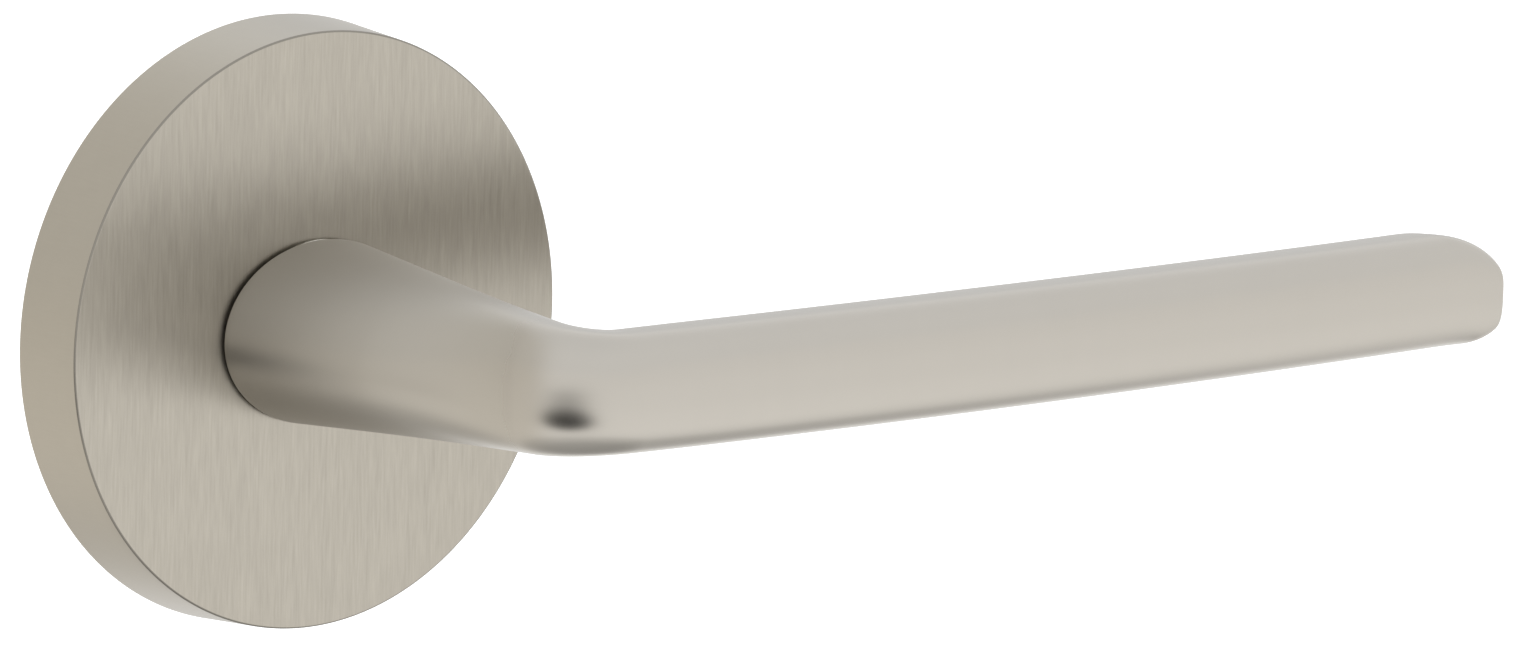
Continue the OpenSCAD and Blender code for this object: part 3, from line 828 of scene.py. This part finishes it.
def break_edges(obj, width):
    """Softens a CAD piece's sharp edges so that they catch the light."""
    weld = obj.modifiers.new("weld", "WELD")
    weld.merge_threshold = 0.001 * MM
    bevel = obj.modifiers.new("edge_break", "BEVEL")
    bevel.width = width * MM
    bevel.segments = 2
    bevel.limit_method = "ANGLE"
    bevel.angle_limit = math.radians(40)


for node_name, node_object in frame["nodes"].items():
    paint(node_object, finishes[SLOTS[node_name]])
    if node_name in EDGE_BREAKS:
        break_edges(node_object, EDGE_BREAKS[node_name])

lever = build_lever()
paint(lever, satin_lever)
attach(lever, "lever", "lever_handle")

rose = build_rose()
paint_rose(rose)
attach(rose, "rose", "rosette_cover")

build_bolts()
build_housing_screws()
build_set_screw()
build_spring()
build_wave_washer()


# ---- Stage: floor, light and camera ----

def build_floor():
    """A plain pale floor well below the handle, which hangs as if on an unseen door. It is clear from
    underneath, so that the handle shows from there too."""
    half, z = 12.0, -0.30     # in metres
    mesh = bpy.data.meshes.new("floor")
    corners = [(-half, -half, z), (half, -half, z), (half, half, z), (-half, half, z)]
    mesh.from_pydata(corners, [], [(0, 1, 2, 3)])
    floor = bpy.data.objects.new("floor", mesh)
    bpy.context.scene.collection.objects.link(floor)
    mat, shader, n = material("pale_floor", (0.9, 0.9, 0.9), 0.0, 0.8)
    shader.inputs["Emission Color"].default_value = (1, 1, 1, 1)
    shader.inputs["Emission Strength"].default_value = 0.3
    one_way = n.add("ShaderNodeMixShader")
    n.put(one_way.inputs[0], n.add("ShaderNodeNewGeometry").outputs["Backfacing"])
    n.put(one_way.inputs[1], shader.outputs[0])
    n.put(one_way.inputs[2], n.add("ShaderNodeBsdfTransparent").outputs[0])
    n.put(mat.node_tree.nodes["Material Output"].inputs["Surface"], one_way.outputs[0])
    paint(floor, mat)
    floor.visible_glossy = False


TENT_TONES = [
    (0.00, 0.48), (0.12, 0.49), (0.20, 0.67), (0.255, 0.97), (0.31, 1.0),
    (0.40, 0.97), (0.48, 0.89), (0.60, (0.835, 0.845, 0.860)), (1.00, (0.795, 0.810, 0.830)),
]
# Dimmer parts of the tent: azimuth, elevation, inner and outer angle, tint. The first two are behind the
# door, on the left and right of the neck. The third is low on the right.
DIM_ZONES = [
    (-150, 0, 40, 75, (0.79, 0.765, 0.72, 1)),
    (140, 2, 8, 32, (0.70, 0.70, 0.70, 1)),
    (120, -52, 28, 60, (0.85, 0.85, 0.85, 1)),
]
OPENING_AZ, OPENING_EL = -62.5, -23.8
OPENING_HALF_W, OPENING_HALF_H = 29, 12
TENT_STRENGTH = 1.60


def near(n, direction, azimuth, elevation, inner, outer):
    """1 within inner degrees of a direction of the sky, falling to 0 at outer degrees."""
    az, el = math.radians(azimuth), math.radians(elevation)
    centre = (math.sin(az) * math.cos(el), -math.cos(az) * math.cos(el), math.sin(el))
    closeness = n.vector("DOT_PRODUCT", direction, centre)
    return n.ease(closeness, math.cos(math.radians(outer)), math.cos(math.radians(inner)))


def build_world():
    """A white light tent round the handle, with one dark opening in its front."""
    world = bpy.data.worlds.new("light_tent")
    bpy.context.scene.world = world
    world.use_nodes = True
    world.node_tree.nodes.clear()
    n = Nodes(world.node_tree)
    direction = n.add("ShaderNodeTexCoord").outputs["Generated"]
    split = n.add("ShaderNodeSeparateXYZ")
    n.put(split.inputs[0], direction)
    x, y, z = split.outputs
    degree = math.radians(1)
    elevation = n.math("DIVIDE", n.math("ARCSINE", z), degree)
    azimuth = n.math("DIVIDE", n.math("ARCTAN2", x, n.math("MULTIPLY", y, -1.0)), degree)

    # The tent by height: dark under the handle, a bright table in front, white walls and top.
    height = n.math("DIVIDE", n.math("ADD", elevation, 90), 180)
    tent = n.ramp(height, TENT_TONES)
    for *zone, tint in DIM_ZONES:
        tent = n.mix(near(n, direction, *zone), tent, n.mix(1.0, tent, tint, "MULTIPLY"))

    # The opening, low on the left: an oval with a soft edge.
    across = n.math("DIVIDE", n.math("SUBTRACT", azimuth, OPENING_AZ), OPENING_HALF_W)
    upward = n.math("DIVIDE", n.math("SUBTRACT", elevation, OPENING_EL), OPENING_HALF_H)
    radius = n.math("SQRT", n.math("ADD", n.math("POWER", across, 2), n.math("POWER", upward, 2)))
    opening = n.ease(radius, 0.65, 1.35, 1.0, 0.0)
    tent = n.mix(opening, tent, (0.0, 0.0, 0.0, 1))

    light = n.add("ShaderNodeBackground")
    n.put(light.inputs["Color"], tent)
    light.inputs["Strength"].default_value = TENT_STRENGTH
    seen = n.add("ShaderNodeBackground")
    seen.inputs["Color"].default_value = (1, 1, 1, 1)
    mix = n.add("ShaderNodeMixShader")
    n.put(mix.inputs[0], n.add("ShaderNodeLightPath").outputs["Is Camera Ray"])
    n.put(mix.inputs[1], light.outputs[0])
    n.put(mix.inputs[2], seen.outputs[0])
    n.put(n.add("ShaderNodeOutputWorld").inputs[0], mix.outputs[0])


AZIMUTH, ELEVATION, ROLL = -39.802, 10.485, 1.3      # in degrees
DISTANCE, FOCAL = 1.6, 341.8                         # in metres and millimetres
LOOK_AT = Vector((0.062279, -0.0091, -0.005676))     # in metres


def build_camera():
    az, el, roll = (math.radians(x) for x in (AZIMUTH, ELEVATION, ROLL))
    back = Vector((math.sin(az) * math.cos(el), -math.cos(az) * math.cos(el), math.sin(el)))
    right = (-back).cross(Vector((0, 0, 1))).normalized()
    up = back.cross(right)
    tilted_right = math.cos(roll) * right + math.sin(roll) * up
    tilted_up = -math.sin(roll) * right + math.cos(roll) * up
    data = bpy.data.cameras.new("camera")
    data.sensor_width = 36
    data.lens = FOCAL
    data.clip_end = 100
    camera = bpy.data.objects.new("camera", data)
    turn = Matrix((tilted_right, tilted_up, back)).transposed()
    camera.matrix_world = Matrix.Translation(LOOK_AT + DISTANCE * back) @ turn.to_4x4()
    bpy.context.scene.collection.objects.link(camera)
    bpy.context.scene.camera = camera


build_floor()
build_world()
build_camera()
bpy.context.scene.view_settings.view_transform = "Standard"
